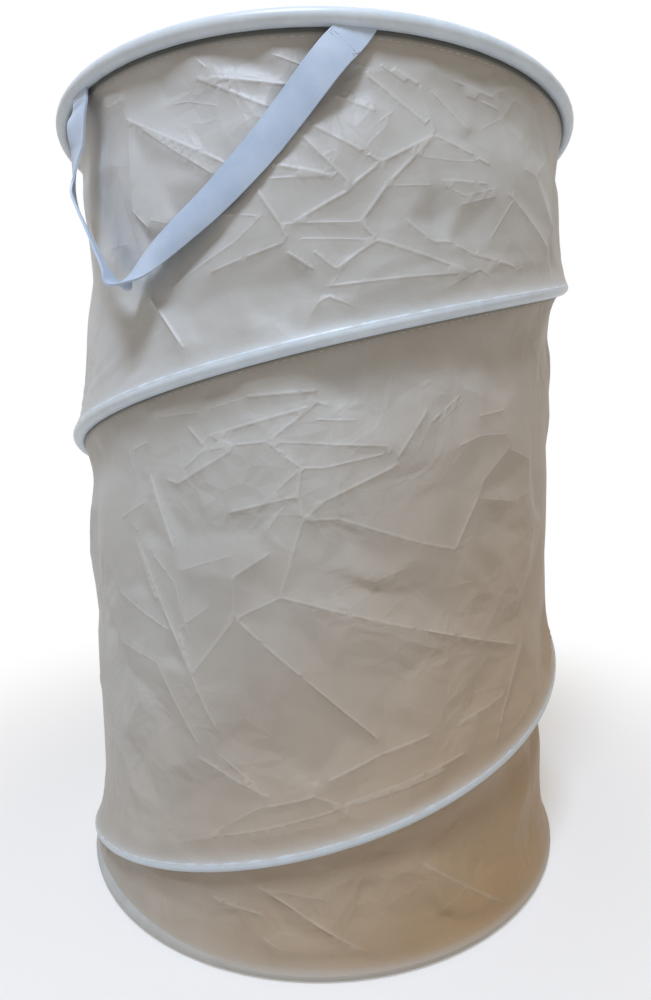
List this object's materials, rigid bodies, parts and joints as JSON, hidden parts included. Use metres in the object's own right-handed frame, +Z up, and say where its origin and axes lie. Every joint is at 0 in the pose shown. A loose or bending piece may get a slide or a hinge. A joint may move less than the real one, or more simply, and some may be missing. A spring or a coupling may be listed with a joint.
{
  "type": "pop up laundry hamper",
  "caption": "Round collapsible hamper: a cloth wall held open by wire hoops and a wire spiral in hems, open at the top, with webbing handles.",
  "frame": {"origin": "on the floor at the middle of the round bottom", "axes": "+Z up along the hamper's axis, -Y towards the front, where the first handle hangs, +X to the right"},
  "size_m": [0.35, 0.3534, 0.5],
  "materials": {
    "wall_cloth": "thin plain woven polyester, creased",
    "hem_cloth": "the same polyester in layers, stretched over the wire",
    "webbing": "flat woven webbing, off-white",
    "thread": "dense sewing thread",
    "spring_wire": "drawn spring steel wire",
    "ferrule_metal": "crimped tube",
    "cap_plastic": "soft moulded plastic"
  },
  "bodies": {
    "base": {"bottom_panel": "wall_cloth", "bottom_hoop_wire": "spring_wire", "bottom_hoop_ferrule": "ferrule_metal", "bottom_hem": "hem_cloth", "wall_fabric": "wall_cloth", "side_seam_tape": "hem_cloth", "spiral_wire": "spring_wire", "spiral_hem": "hem_cloth", "spiral_foot_cap": "cap_plastic"},
    "rim": {"top_hoop_wire": "spring_wire", "top_hoop_ferrule": "ferrule_metal", "top_hem": "hem_cloth", "spiral_head_cap": "cap_plastic", "front_handle_left_end": "webbing", "front_handle_right_end": "webbing", "front_handle_left_tack": "thread", "front_handle_right_tack": "thread", "back_handle_left_end": "webbing", "back_handle_right_end": "webbing", "back_handle_left_tack": "thread", "back_handle_right_tack": "thread"},
    "front_handle": {"front_handle_strap": "webbing"},
    "back_handle": {"back_handle_strap": "webbing"}
  },
  "joints": [
    {"name": "collapse", "type": "slide", "parent": "base", "child": "rim", "axis": [0, 0, -1], "range_m": [0, 0.455], "stiffness_N_per_m": 60, "springref_m": -0.1, "deforming": ["wall_fabric", "side_seam_tape", "spiral_wire", "spiral_hem"]},
    {"name": "front_handle_lift", "type": "hinge", "parent": "rim", "child": "front_handle", "pos_m": [-0.06111, -0.13104, 0.4907], "axis": [-0.9063, 0.4226, 0], "range_deg": [0, 170]},
    {"name": "back_handle_lift", "type": "hinge", "parent": "rim", "child": "back_handle", "pos_m": [0.06111, 0.13104, 0.4907], "axis": [0.9063, -0.4226, 0], "range_deg": [0, 170]}
  ]
}
